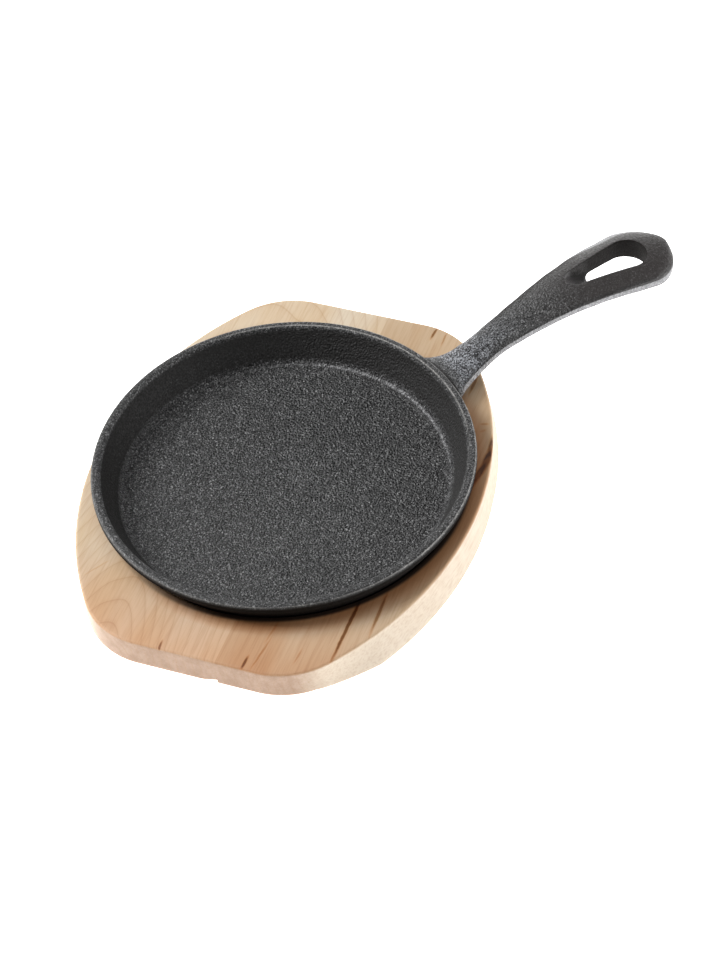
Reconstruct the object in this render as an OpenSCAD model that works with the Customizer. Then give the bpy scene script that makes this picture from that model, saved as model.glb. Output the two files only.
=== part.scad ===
// Small cast iron serving pan on its glued wooden board.
// The underside centre of the board is the origin, the handle points along +X and +Z is up.

/* [Pan bowl] */
// Outside diameter of the pan at its rim
rim_d = 160; // [150:1:176]
// Outside diameter of the flat base, where the wall line meets it
base_d = 140; // [124:1:146]
// Height of the pan from its base to the top of the rim
pan_h = 19.5; // [17:0.5:30]
// Thickness of the cooking floor
floor_t = 3.5; // [2.5:0.1:5]
// Thickness of the wall along the radius, at the level of the rim
rim_w = 3.5; // [2.8:0.1:5]
// Thickness of the wall along the radius, at the level of the floor
wall_w = 3.6; // [2.6:0.1:5]
// Height of the upright band round the outside of the rim
rim_band_h = 3; // [2.5:0.1:4]
// Radius of the fillet between the floor and the inner wall
floor_fillet_r = 5; // [2:0.5:8]

/* [Handle] */
// Length of the handle from the rim to its tip
handle_l = 119.5; // [105:0.5:150]
// Width of the neck at its narrowest
neck_w = 14.8; // [12:0.2:18]
// Width of the paddle at its widest
paddle_w = 35; // [30:0.5:40]
// What each side of the root flares out where it meets the rim
root_flare = 6.8; // [4:0.2:9]
// Length over which the flare dies away to about a third
root_flare_l = 6.8; // [4:0.2:9]
// Step from the top of the rim down to the top of the root
root_drop = 1.1; // [0.8:0.1:2]
// Rise of the neck as it leaves the root
neck_rise = 4.6; // [2:0.2:10]
// Further rise of the arched grip above the neck
grip_arch = 5.6; // [0:0.2:8]
// Height of the crowned top of the paddle above its widest line
grip_crown = 5; // [3:0.1:6]
// Depth of the upright sides of the neck below its widest line
neck_belly = 3.8; // [3:0.1:6]
// Depth of the upright sides of the paddle below its widest line
grip_belly = 5.6; // [3:0.1:7]

/* [Hanging hole] */
// Radius of the wide end of the teardrop hole
hole_wide_r = 8.5; // [5:0.1:9.5]
// Radius of the narrow end of the teardrop hole, in the top of the handle
hole_narrow_r = 4.3; // [2.6:0.1:4.8]
// Distance between the centres of the two ends, in the top of the handle
hole_l = 27.8; // [20:0.2:32]
// How much the sloping wall at the narrow end shortens the hole at the underside
hole_ramp = 13.4; // [0:0.2:14]
// Metal left between the hole and the tip
hole_web = 12.2; // [9:0.1:18]

/* [Wooden board] */
// Length of the board, between its two straight ends
board_l = 200; // [188:1:220]
// Width of the board, across its two bowed sides
board_w = 166; // [160:1:200]
// Thickness of the board
board_t = 13; // [10.5:0.5:22]
// Radius of the two bowed sides
side_r = 140; // [130:1:200]
// Radius of the four corners
corner_r = 34; // [20:1:40]
// Radius that softens the top edge
top_edge_r = 1.2; // [0.4:0.1:2]
// Bevel that breaks the bottom edge
bottom_edge = 0.5; // [0.2:0.1:1]
// How far the foot of the sloping side stands out, near the chipped end
foot_out = 4.7; // [0:0.1:6]
// How far the foot of the sloping side stands out, towards the other end
foot_out_far = 1.6; // [0:0.1:3]
// Distance of the glue joint from the middle of the board
joint_offset = 9; // [0:1:30]
// Angle from the handle to the length of the board
board_turn = 35; // [0:1:90]
// Depth of the round seat for the pan
seat_depth = 8; // [3:0.5:9]
// Clearance round the pan at the mouth of the seat
seat_clear = 0.5; // [0.3:0.1:2]

/* [Hidden] */
$fn = 180;

// Overrun of every cut past the face it opens
cut_over = 1;
arc_steps = 6;

// Pan bowl
rim_r = rim_d / 2;
base_r = base_d / 2;
rim_outer_round = 1.4;
rim_inner_round = 1.6;
band_round = 1.5;
base_round = 3;
rim_inner_r = rim_r - rim_w;
// Run of the outer wall for each unit of height
outer_run = (rim_r - base_r) / (pan_h - rim_band_h);
floor_r = base_r + outer_run * floor_t - wall_w;

// Handle, with distances along it measured from the pan's axis
tip_s = rim_r + handle_l;
// The solid starts inside the wall, where the bowl's cavity trims it
root_sink = 9.5;
root_s = rim_r - root_sink;
// Inside this distance the flare stays as wide as it is
flare_stop = 1.7;
root_crown = 2.7;
root_belly = 5;
neck_rise_start = 2;
neck_rise_l = 31;
crest_share = 0.56;
arch_reach_share = 0.51;
paddle_start_share = 0.2;
paddle_full_share = 0.87;
tip_start_share = 0.85;
neck_end_share = 0.2;
// The widening is in part a straight taper, for the rest an S-curve
taper_share = 0.6;
tip_power = 2;
nose_power = 0.35;
// The sides get deeper late, close to the hole
belly_power = 4;
// Shape of the crowned top: its flatness and how sharply it turns at the edge
crown_power = 2.3;
crown_edge_power = 0.8;
side_power = 7;
section_points = 28;
root_stations = 14;
grip_stations = 20;
tip_stations = 10;
tip_last_angle = 86;

// Hanging hole
hole_wide_s = tip_s - hole_web - hole_wide_r;
hole_narrow_s = hole_wide_s - hole_l;
hole_top = grip_arch + neck_rise + grip_crown + pan_h + cut_over;
// Upright lip of the hole's narrow end, above the underside
hole_lip_share = 0.3;

// Wooden board
half_l = board_l / 2;
half_w = board_w / 2;
seat_z = board_t - seat_depth;
seat_edge_bevel = 0.4;
seat_r = base_r + outer_run * seat_depth + seat_clear;
side_steps = 22;
corner_steps = 10;
edge_steps = 4;
// Where the sloping side's foot starts, is furthest out, evens out and ends, as shares of half the length
foot_start_share = 0.92;
foot_full_share = 0.69;
foot_even_share = 0.2;
foot_end_share = 0.99;
// Chip that the photographed board has under one end, beside the glue joint
chip_w = 7.5;
chip_h = 1.5;
chip_depth = 3;
chip_step_share = 0.45;

// Value held between 0 and 1
function unit(t) = min(1, max(0, t));

// S-curve from 0 to 1
function ease(t) = let (u = unit(t)) u * u * (3 - 2 * u);

// Points of the arc of radius r that rounds the corner b between the lines to a and to c
function corner_arc(a, b, c, r) =
    let (
        u = (a - b) / norm(a - b),
        v = (c - b) / norm(c - b),
        half = acos(u * v) / 2,
        middle = (u + v) / norm(u + v),
        centre = b + middle * r / sin(half),
        start = b + u * r / tan(half),
        finish = b + v * r / tan(half),
        p = (start - centre) / r,
        q = (finish - centre) / r,
        sweep = 180 - 2 * half
    )
    [for (i = [0:arc_steps])
        let (t = i / arc_steps)
        centre + r * (p * sin((1 - t) * sweep) + q * sin(t * sweep)) / sin(sweep)];

// Half section of the bowl's outside, filled to the axis
function bowl_outside() = concat(
    [[0, 0]],
    corner_arc([0, 0], [base_r, 0], [rim_r, pan_h - rim_band_h], base_round),
    corner_arc([base_r, 0], [rim_r, pan_h - rim_band_h], [rim_r, pan_h], band_round),
    corner_arc([rim_r, 0], [rim_r, pan_h], [0, pan_h], rim_outer_round),
    [[0, pan_h]]
);

// Half section of the cavity, with the fillet at the floor and the rounding inside the rim
function bowl_inside() =
    let (lip = corner_arc([floor_r, floor_t], [rim_inner_r, pan_h], [rim_r, pan_h], rim_inner_round))
    concat(
        [[0, floor_t]],
        corner_arc([0, floor_t], [floor_r, floor_t], [rim_inner_r, pan_h], floor_fillet_r),
        lip,
        [[lip[arc_steps][0], pan_h + cut_over], [0, pan_h + cut_over]]
    );

// How much of the full width is left at distance s, where the tip rounds off
function tip_left(s) =
    let (t = unit((s - tip_from) / (tip_s - tip_from)))
    pow(1 - pow(t, tip_power), 1 / tip_power);

tip_from = rim_r + tip_start_share * handle_l;

// How far the handle has grown from neck to paddle at distance s, from 0 to 1
function grown(s) =
    let (
        t = (s - rim_r - paddle_start_share * handle_l)
            / ((paddle_full_share - paddle_start_share) * handle_l)
    )
    taper_share * unit(t) + (1 - taper_share) * ease(t);

// Half width of the handle: flared root, slim neck, paddle and rounded tip
function half_width(s) =
    let (flare = root_flare * exp((rim_r - max(s, rim_r - flare_stop)) / root_flare_l))
    (neck_w / 2 + flare + (paddle_w - neck_w) / 2 * grown(s)) * tip_left(s);

// Height of the handle's widest line above the pan's base
function line_height(s) =
    let (
        root_z = pan_h - root_drop - root_crown,
        rise = neck_rise * ease((s - rim_r - neck_rise_start) / neck_rise_l),
        off = (s - rim_r - crest_share * handle_l) / (arch_reach_share * handle_l),
        arch = grip_arch * (1 + cos(180 * min(1, max(-1, off)))) / 2
    )
    root_z + rise + arch;

// Crown above the widest line and belly below it, both drawn in at the tip
function crown(s) =
    (root_crown + (grip_crown - root_crown) * grown(s)) * pow(tip_left(s), nose_power);
function belly(s) =
    let (
        leaving = (root_belly - neck_belly) * (1 - ease((s - rim_r) / neck_rise_l)),
        deepening = (grip_belly - neck_belly) * pow(grown(s), belly_power)
    )
    (neck_belly + leaving + deepening) * pow(tip_left(s), nose_power);

// Crowned top of a cross-section, for a share of its half width from -1 to 1
function top_curve(v) = pow(1 - pow(abs(v), crown_power), crown_edge_power);

// One cross-section of the handle: a crowned top over upright sides with a rounded underside
function handle_section(s) =
    [for (i = [0:section_points - 1])
        let (
            a = 360 * i / section_points,
            v = cos(a),
            side = sign(v) * pow(abs(v), 2 / side_power),
            under = pow(abs(sin(a)), 2 / side_power)
        )
        2 * i <= section_points
            ? [s, half_width(s) * v, line_height(s) + crown(s) * top_curve(v)]
            : [s, half_width(s) * side, line_height(s) - belly(s) * under]];

neck_end = rim_r + neck_end_share * handle_l;
stations = concat(
    [for (i = [0:root_stations - 1]) root_s + (neck_end - root_s) * i / root_stations],
    [for (i = [0:grip_stations - 1]) neck_end + (tip_from - neck_end) * i / grip_stations],
    [for (i = [0:tip_stations]) tip_from + (tip_s - tip_from) * sin(tip_last_angle * i / tip_stations)]
);

// Solid through closed rings of points, each ring with the same number of them, run anticlockwise
// when seen from the last ring's side
module loft(rings) {
    count = len(rings[0]);
    last = len(rings) - 1;
    sides = [for (k = [0:last - 1], i = [0:count - 1])
        let (j = (i + 1) % count)
        each [
            [k * count + i, (k + 1) * count + j, k * count + j],
            [k * count + i, (k + 1) * count + i, (k + 1) * count + j]
        ]];
    first_cap = [for (i = [0:count - 1]) i];
    last_cap = [for (i = [count - 1:-1:0]) last * count + i];
    polyhedron(points = [for (r = rings) each r], faces = concat(sides, [first_cap, last_cap]));
}

// Outline of the teardrop at height z, shortened at its narrow end: an arc round each end and the
// two common tangents between them
function teardrop(shorter, z) =
    let (
        lean = asin((hole_wide_r - hole_narrow_r) / hole_l),
        narrow_s = hole_narrow_s + shorter,
        narrow_r = hole_narrow_r + shorter * sin(lean)
    )
    concat(
        [for (i = [0:2 * section_points])
            let (a = -90 - lean + (180 + 2 * lean) * i / (2 * section_points))
            [hole_wide_s + hole_wide_r * cos(a), hole_wide_r * sin(a), z]],
        [for (i = [0:section_points])
            let (a = 90 + lean + (180 - 2 * lean) * i / section_points)
            [narrow_s + narrow_r * cos(a), narrow_r * sin(a), z]]
    );

// The hanging hole: upright walls, but a sloping one at the narrow end
module hanging_hole() {
    under_s = hole_narrow_s + hole_ramp;
    ramp_low = line_height(under_s) - (1 - hole_lip_share) * belly(under_s);
    ramp_high = line_height(hole_narrow_s) + crown(hole_narrow_s);
    loft([
        teardrop(hole_ramp, 0),
        teardrop(hole_ramp, ramp_low),
        teardrop(0, ramp_high),
        teardrop(0, hole_top)
    ]);
}

module cast_iron_pan() {
    color("#2f3032")
    translate([0, 0, seat_z])
    difference() {
        union() {
            rotate_extrude() polygon(bowl_outside());
            loft([for (s = stations) handle_section(s)]);
        }
        rotate_extrude() polygon(bowl_inside());
        hanging_hole();
    }
}

// Quarter of the board's outline, drawn in by inset: bowed side, rounded corner and straight end
function board_quarter(inset) =
    let (
        bow_r = side_r - inset,
        round_r = corner_r - inset,
        bow_y = half_w - side_r,
        corner_x = half_l - corner_r,
        corner_y = bow_y + sqrt(pow(side_r - corner_r, 2) - pow(corner_x, 2)),
        lean = atan2(corner_x, corner_y - bow_y)
    )
    concat(
        [for (i = [0:corner_steps])
            let (a = (90 - lean) * i / corner_steps)
            [corner_x + round_r * cos(a), corner_y + round_r * sin(a)]],
        [for (i = [1:side_steps])
            let (a = 90 - lean + lean * i / side_steps)
            [bow_r * cos(a), bow_y + bow_r * sin(a)]]
    );

// How far the foot of the sloping side stands out at distance x along the board
function foot_at(x) = lookup(x, [
    [-foot_start_share * half_l, 0],
    [-foot_full_share * half_l, foot_out],
    [foot_even_share * half_l, foot_out_far],
    [foot_start_share * half_l, foot_out_far],
    [foot_end_share * half_l, 0]
]);

// Closed outline of the board at height z, drawn in by inset; slope is 1 where the sloping side's
// foot stands out in full and 0 where it doesn't
function board_ring(inset, z, slope) =
    let (
        q = board_quarter(inset),
        n = len(q) - 1,
        half = concat(q, [for (i = [n - 1:-1:0]) [-q[i][0], q[i][1]]]),
        m = len(half) - 1,
        all = concat(half, [for (i = [m:-1:0]) [half[i][0], -half[i][1]]]),
        bow_centre = [0, side_r - half_w]
    )
    [for (p = all)
        let (
            away = p - bow_centre,
            moved = p[1] < 0 ? p + slope * foot_at(p[0]) * away / norm(away) : p
        )
        [moved[0], moved[1], z]];

// The board as one blank: bevelled below, rounded over above, one side sloping out to its foot, with
// the round seat for the pan
module board_blank() {
    difference() {
        loft(concat(
            [board_ring(bottom_edge, 0, 1), board_ring(0, bottom_edge, 1)],
            [for (i = [0:edge_steps])
                let (a = 90 * i / edge_steps)
                board_ring(top_edge_r * (1 - cos(a)), board_t - top_edge_r * (1 - sin(a)), 0)]
        ));
        rotate_extrude() polygon([
            [0, seat_z],
            [seat_r, seat_z],
            [seat_r, board_t - seat_edge_bevel],
            [seat_r + seat_edge_bevel + cut_over, board_t + cut_over],
            [0, board_t + cut_over]
        ]);
    }
}

// Half of space beside the glue joint, on the side given by 1 or -1
module beside_joint(side) {
    translate([-board_l, side > 0 ? -joint_offset : -joint_offset - board_l, -cut_over])
    cube([2 * board_l, board_l, board_t + 2 * cut_over]);
}

// Shallow chip out of the bottom edge of one end, deepest at the glue joint
module end_chip() {
    translate([-half_l - cut_over, 0, 0])
    rotate([90, 0, 90])
    linear_extrude(chip_depth + cut_over)
    polygon([
        [-joint_offset - cut_over, -cut_over],
        [-joint_offset - cut_over, chip_h],
        [-joint_offset + chip_w * chip_step_share, chip_h * (1 - chip_step_share)],
        [-joint_offset + chip_w, 0],
        [-joint_offset + chip_w, -cut_over]
    ]);
}

module wide_board_stave() {
    color("#d9b78e")
    rotate([0, 0, board_turn])
    difference() {
        intersection() {
            board_blank();
            beside_joint(1);
        }
        end_chip();
    }
}

module narrow_board_stave() {
    color("#d2ad82")
    rotate([0, 0, board_turn])
    intersection() {
        board_blank();
        beside_joint(-1);
    }
}

cast_iron_pan();
wide_board_stave();
narrow_board_stave();
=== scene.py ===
"""Looks of a small cast iron serving pan resting in its glued wooden board.

Lengths in the shape functions are millimetres in the part's own frame; a mesh is written in metres.
"""
import math
from functools import partial

import bmesh
import bpy
import numpy as np
from mathutils import Matrix, Vector


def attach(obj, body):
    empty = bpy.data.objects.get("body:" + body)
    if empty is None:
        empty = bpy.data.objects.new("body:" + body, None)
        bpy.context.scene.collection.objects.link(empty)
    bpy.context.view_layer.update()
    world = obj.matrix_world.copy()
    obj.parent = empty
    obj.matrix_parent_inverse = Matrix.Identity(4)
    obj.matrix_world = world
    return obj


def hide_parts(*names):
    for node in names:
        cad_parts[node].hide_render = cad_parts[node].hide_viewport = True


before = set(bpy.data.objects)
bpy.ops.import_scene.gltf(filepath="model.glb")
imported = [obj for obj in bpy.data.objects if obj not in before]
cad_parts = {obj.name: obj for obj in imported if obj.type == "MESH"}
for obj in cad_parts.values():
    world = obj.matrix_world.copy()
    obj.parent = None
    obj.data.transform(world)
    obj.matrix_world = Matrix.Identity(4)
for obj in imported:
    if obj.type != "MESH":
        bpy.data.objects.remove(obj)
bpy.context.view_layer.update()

MM = 0.001

# -------------------- sizes of the pan, in millimetres
RIM_R, BASE_R, PAN_H, FLOOR_T = 80.0, 70.0, 19.5, 3.5
RIM_W, WALL_W, BAND_H = 3.5, 3.6, 3.0
FLOOR_FILLET, INNER_ROUND, OUTER_ROUND, BAND_ROUND, BASE_ROUND = 5.0, 1.6, 1.4, 1.5, 3.0
SEAT_Z = 5.0

# The handle's length and widths, the flare at the rim and the part that grows to the paddle's width
HANDLE_L, NECK_W, PADDLE_W = 119.5, 14.8, 35.0
TIP_S, TIP_FROM = RIM_R + HANDLE_L, RIM_R + 0.85 * HANDLE_L
FLARE, FLARE_FROM = 6.8, RIM_R - 1.7
GROW_FROM, GROW_OVER, STRAIGHT_SHARE = RIM_R + 0.2 * HANDLE_L, 0.67 * HANDLE_L, 0.6
# Its section's heights above and below the widest line
CROWN_ROOT, CROWN_PADDLE = 2.7, 5.0
BELLY_ROOT, BELLY_NECK, BELLY_PADDLE = 5.0, 3.8, 5.6
# Powers of its section: of the crown's width, of the crown's height and of the upright sides
CROWN_POWER, CROWN_TOP_POWER, SIDE_POWER = 2.3, 0.8, 7.0
# Its widest line: height at the root, rise up the neck and arch
LINE_Z = PAN_H - 1.1 - CROWN_ROOT
NECK_RISE, NECK_FROM, NECK_OVER = 4.6, RIM_R + 2.0, 31.0
ARCH_H, ARCH_MID, ARCH_HALF = 5.6, RIM_R + 0.56 * HANDLE_L, 0.51 * HANDLE_L
# The low swelling where the root ends on top, and the uneven parting line beyond it
SWELL_S, SWELL_H, SWELL_L, SWELL_BEND = 96.0, 0.3, 1.3, 0.02
PARTING_H, PARTING_OVER = 0.09, 8.0
# Reach of the fillet between wall and handle, at the sides and on top
WALL_REACH, WALL_REACH_TOP, HANDLE_REACH, HANDLE_REACH_TOP = 1.9, 0.5, 2.3, 1.2

# The hanging hole: its radii and length, how much shorter it is below, the web outside it, its edge
HOLE_WIDE_R, HOLE_NARROW_R, HOLE_L = 8.5, 4.3, 27.8
HOLE_RAMP, HOLE_WEB, HOLE_EDGE = 13.4, 12.2, 0.55
HOLE_WIDE_S = TIP_S - HOLE_WEB - HOLE_WIDE_R
HOLE_NARROW_S = HOLE_WIDE_S - HOLE_L

# -------------------- sizes of the board, in millimetres
BOARD_L, BOARD_W, BOARD_T = 200.0, 166.0, 13.0
SIDE_R, CORNER_R, TOP_ROUND, BOTTOM_BEVEL = 140.0, 34.0, 1.2, 0.5
JOINT_OFFSET, BOARD_TURN = 9.0, math.radians(35.0)
SEAT_R, SEAT_FILLET, SEAT_BEVEL = 75.35, 0.5, 0.4
CHIP_W, CHIP_H, CHIP_DEPTH, CHIP_BELOW = 7.5, 2.2, 3.0, 6.0
# The sloping side's foot: places along the half length, as shares of it, and how far it stands out
FOOT_PLACES, FOOT_OUT = np.array([-0.92, -0.69, 0.2, 0.92, 0.99]), [0, 4.7, 1.6, 1.6, 0]

# -------------------- cells of the meshes
ARC_STEPS = 24
LINE_CELLS, ARC_CELLS = [30, 14, 2, 3, 22, 20], [8, 6, 7, 2, 6]
PAN_COLUMNS, WINDOW_COLUMNS, WINDOW_ROWS, WINDOW_MARGIN = 540, 32, 16, 60
FILLET_CELLS, GATHER_CELLS, TIP_CELLS = 5, 8, 26
EVEN_FROM, EVEN_STEP = 88.0, 0.78
HOLE_CELLS, HOLE_MARGIN_IN, HOLE_MARGIN_OUT, HOLE_WALL_CELLS = 11, 26, 12, 8
BOARD_COLUMNS = 720
BOWL_ROUNDS, HANDLE_ROUNDS, SEARCH_ROUNDS = 600, 1500, 40


# -------------------- helpers for meshes
def ease(t):
    """S-curve from 0 to 1: three times the square less twice the cube."""
    u = np.clip(t, 0.0, 1.0)
    return u * u * (3.0 - 2.0 * u)


def quads(grid):
    """Faces of a grid of point numbers: each cell takes its four corners, first along the rows."""
    corners = [grid[:-1, :-1], grid[1:, :-1], grid[1:, 1:], grid[:-1, 1:]]
    return np.stack(corners, axis=-1).reshape(-1, 4)


def closed(grid):
    """Grid of point numbers with its first column added again as the last."""
    return np.concatenate([grid, grid[:, :1]], axis=1)


def fan(ring, centre):
    """Triangles from a closed ring of point numbers to one centre point."""
    after = np.roll(ring, -1)
    return np.stack([ring, after, np.full(len(ring), centre)], axis=-1)


def add_object(name, data):
    """Object in the scene from a mesh, light or camera."""
    made = bpy.data.objects.new(name, data)
    bpy.context.scene.collection.objects.link(made)
    return made


def add_surface(name, points, four, three=(), smooth=True):
    """Object from points in millimetres, four-sided faces and three-sided faces."""
    mesh = bpy.data.meshes.new(name)
    loops = np.concatenate([np.ravel(four), np.ravel(three)]).astype(np.int32)
    counts = np.concatenate([np.full(len(four), 4), np.full(len(three), 3)])
    mesh.vertices.add(len(points))
    mesh.vertices.foreach_set("co", (np.asarray(points, float) * MM).astype(np.float32).ravel())
    mesh.loops.add(len(loops))
    mesh.loops.foreach_set("vertex_index", loops)
    mesh.polygons.add(len(counts))
    mesh.polygons.foreach_set("loop_start", (np.cumsum(counts) - counts).astype(np.int32))
    mesh.polygons.foreach_set("use_smooth", np.full(len(counts), smooth))
    mesh.update(calc_edges=True)
    mesh.validate()
    return add_object(name, mesh)


def harmonic(field, fixed, rounds):
    """Smoothest field that keeps its fixed values: each other is the mean of its neighbours."""
    f = field.copy()
    for _ in range(rounds):
        p = np.pad(f, ((1, 1), (0, 0)), mode="edge")
        mean = (p[:-2] + p[2:] + np.roll(f, 1, axis=1) + np.roll(f, -1, axis=1)) / 4.0
        f = np.where(fixed, field, mean)
    return f


# -------------------- pan: outline of the bowl
def rounded_path(corners, radii):
    """Path through corners, each rounded by an arc of its radius that touches both its sides.

    Gives a dense path, and the lengths along it of the rows that the mesh uses.
    """
    corners = np.array(corners, float)
    here, total = corners[0], 0.0
    dense, marks, rows = [here], [0.0], [0.0]
    for n, cells in enumerate(LINE_CELLS):
        start = b = corners[n + 1]
        last = n == len(LINE_CELLS) - 1
        if not last:
            u, v = ((end - b) / np.linalg.norm(end - b) for end in (corners[n], corners[n + 2]))
            half = math.acos(np.clip(u @ v, -1, 1)) / 2
            r = radii[n]
            start, finish = b + u * r / math.tan(half), b + v * r / math.tan(half)
            centre = b + (u + v) / np.linalg.norm(u + v) * r / math.sin(half)
        run = np.linalg.norm(start - here)
        rows += [total + run * (i + 1) / cells for i in range(cells)]
        total += run
        dense.append(start)
        marks.append(total)
        if last:
            break
        p, q = (start - centre) / r, (finish - centre) / r
        sweep = math.pi - 2 * half
        for i in range(1, ARC_STEPS + 1):
            t = i / ARC_STEPS
            turned = (p * math.sin((1 - t) * sweep) + q * math.sin(t * sweep)) / math.sin(sweep)
            dense.append(centre + r * turned)
            marks.append(total + r * sweep * t)
        rows += [total + r * sweep * (i + 1) / ARC_CELLS[n] for i in range(ARC_CELLS[n])]
        total += r * sweep
        here = finish
    return np.array(dense), np.array(marks), np.array(rows)


FLOOR_R = BASE_R + (RIM_R - BASE_R) / (PAN_H - BAND_H) * FLOOR_T - WALL_W
BOWL_PATH, BOWL_MARKS, BOWL_ROWS = rounded_path(
    [(0, FLOOR_T), (FLOOR_R, FLOOR_T), (RIM_R - RIM_W, PAN_H), (RIM_R, PAN_H),
     (RIM_R, PAN_H - BAND_H), (BASE_R, 0), (0, 0)],
    [FLOOR_FILLET, INNER_ROUND, OUTER_ROUND, BAND_ROUND, BASE_ROUND])
# Rows where the outer rounding of the rim starts and where the rounding of the base starts
ROW_RIM_OUT = sum(LINE_CELLS[:3]) + sum(ARC_CELLS[:2])
ROW_BASE = sum(LINE_CELLS[:5]) + sum(ARC_CELLS[:4])


def bowl_point(turn, mark):
    """Point of the bowl: the outline at a length along it, turned about the axis."""
    r = np.interp(mark, BOWL_MARKS, BOWL_PATH[:, 0])
    z = np.interp(mark, BOWL_MARKS, BOWL_PATH[:, 1])
    return np.stack([r * np.cos(turn), r * np.sin(turn), z], axis=-1)


def outside(z, values):
    """Value at a height on the bowl's outside, out of values given for the whole outline."""
    out = BOWL_MARKS >= BOWL_ROWS[ROW_RIM_OUT]
    return np.interp(z, BOWL_PATH[out][::-1, 1], values[out][::-1])


# -------------------- pan: handle
def tip_left(s):
    """Share of the full width left at a distance along the handle: a quarter of an ellipse."""
    t = np.clip((s - TIP_FROM) / (TIP_S - TIP_FROM), 0, 1)
    return np.sqrt(1 - t ** 2)


def grown(s):
    """How far the handle has grown from neck to paddle: part straight taper, part S-curve."""
    t = (s - GROW_FROM) / GROW_OVER
    return STRAIGHT_SHARE * np.clip(t, 0, 1) + (1 - STRAIGHT_SHARE) * ease(t)


def half_width(s):
    """Neck, plus a flare that dies away from the rim, plus the growth, and less at the tip."""
    flare = FLARE * np.exp((RIM_R - np.maximum(s, FLARE_FROM)) / FLARE)
    return (NECK_W / 2 + flare + (PADDLE_W - NECK_W) / 2 * grown(s)) * tip_left(s)


def line_height(s):
    """Height of the widest line: the root's, an S-curve up the neck and one arch of a cosine."""
    rise = NECK_RISE * ease((s - NECK_FROM) / NECK_OVER)
    off = np.clip((s - ARCH_MID) / ARCH_HALF, -1, 1)
    return LINE_Z + rise + ARCH_H * (1 + np.cos(np.pi * off)) / 2


def section_share(a):
    """A section's shape as shares of its half width and height, for an angle round it.

    Above, the height is one less the share of the width to the power 2.3, all to the power 0.8.
    Below it is an ellipse to the power 7: upright sides and a flat underside with round edges.
    """
    c, d = np.cos(a), np.sin(a)
    above = d >= 0
    y = np.where(above, c, np.sign(c) * np.abs(c) ** (2 / SIDE_POWER))
    crown = np.clip(1 - np.abs(c) ** CROWN_POWER, 0, 1) ** CROWN_TOP_POWER
    return y, np.where(above, crown, -np.abs(d) ** (2 / SIDE_POWER)), above


def handle_point(s, a):
    """Point of the handle: its section carried along its path, at distance s, angle a."""
    y, z, above = section_share(a)
    crown = CROWN_ROOT + (CROWN_PADDLE - CROWN_ROOT) * grown(s)
    belly = (BELLY_NECK + (BELLY_ROOT - BELLY_NECK) * (1 - ease((s - RIM_R) / NECK_OVER))
             + (BELLY_PADDLE - BELLY_NECK) * grown(s) ** 4)
    high = line_height(s) + np.where(above, crown, belly) * z * tip_left(s) ** 0.35
    # The root ends on top in a low swelling, curved back at its sides
    off = (s - SWELL_S + SWELL_BEND * (half_width(s) * y) ** 2) / SWELL_L
    high = high + np.where(above, SWELL_H, 0) * np.exp(-off ** 2)
    # The parting line of the mould is uneven: three waves along it, felt only at the very edge
    uneven = np.sin(s / 1.9 + 1.0) + np.sin(s / 3.1) + np.sin(s / 5.3 + 2.0)
    high = high + PARTING_H * uneven * ease((s - SWELL_S) / PARTING_OVER) * np.abs(y) ** 24
    return np.stack([s + 0 * a, half_width(s) * y, high], axis=-1)


def angle_above(share):
    """Angle round a section of the point in its top at a share of the half width."""
    return np.arccos(np.clip(share, -1, 1))


def angle_below(share):
    """Angle round a section of the point in its underside at a share of the half width."""
    return 2 * np.pi - np.arccos(np.sign(share) * np.clip(np.abs(share), 0, 1) ** (SIDE_POWER / 2))


def even_angles(count):
    """Angles round a section, the same number above and below, spaced by length and by turning.

    The section is taken 15 mm in half width and 4.8 mm high. Each radian that its outline turns
    counts as 3 mm, so the edges get more points.
    """
    found = []
    for begin in (0, np.pi):
        a = np.linspace(begin, begin + np.pi, 6001)
        a[0], a[-1] = a[0] + 1e-7, a[-1] - 1e-7
        y, z, above = section_share(a)
        step = np.diff(np.stack([15.0 * y, 4.8 * z], axis=-1), axis=0)
        lean = np.unwrap(np.arctan2(step[:, 1], step[:, 0]))
        turned = np.abs(np.diff(lean, append=lean[-1]))
        run = np.concatenate([[0], np.cumsum(np.hypot(step[:, 0], step[:, 1]) + 3.0 * turned)])
        found.append(np.interp(np.arange(count // 2) / (count // 2) * run[-1], run, a))
    found = np.concatenate(found)
    found[0], found[count // 2] = 0.0, np.pi
    return found


def frame_of_window(rows, columns):
    """Grid places round a window, from the middle of its last column and going up its rows."""
    (i0, i1), (j0, j1) = rows, columns
    mid = (i0 + i1) // 2
    up = [(i, j1) for i in range(mid, i0, -1)]
    over = [(i0, j) for j in range(j1, j0, -1)]
    down = [(i, j0) for i in range(i0, i1)]
    back = [(i1, j) for j in range(j0, j1)]
    home = [(i, j1) for i in range(i1, mid, -1)]
    return np.array(up + over + down + back + home)


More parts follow.
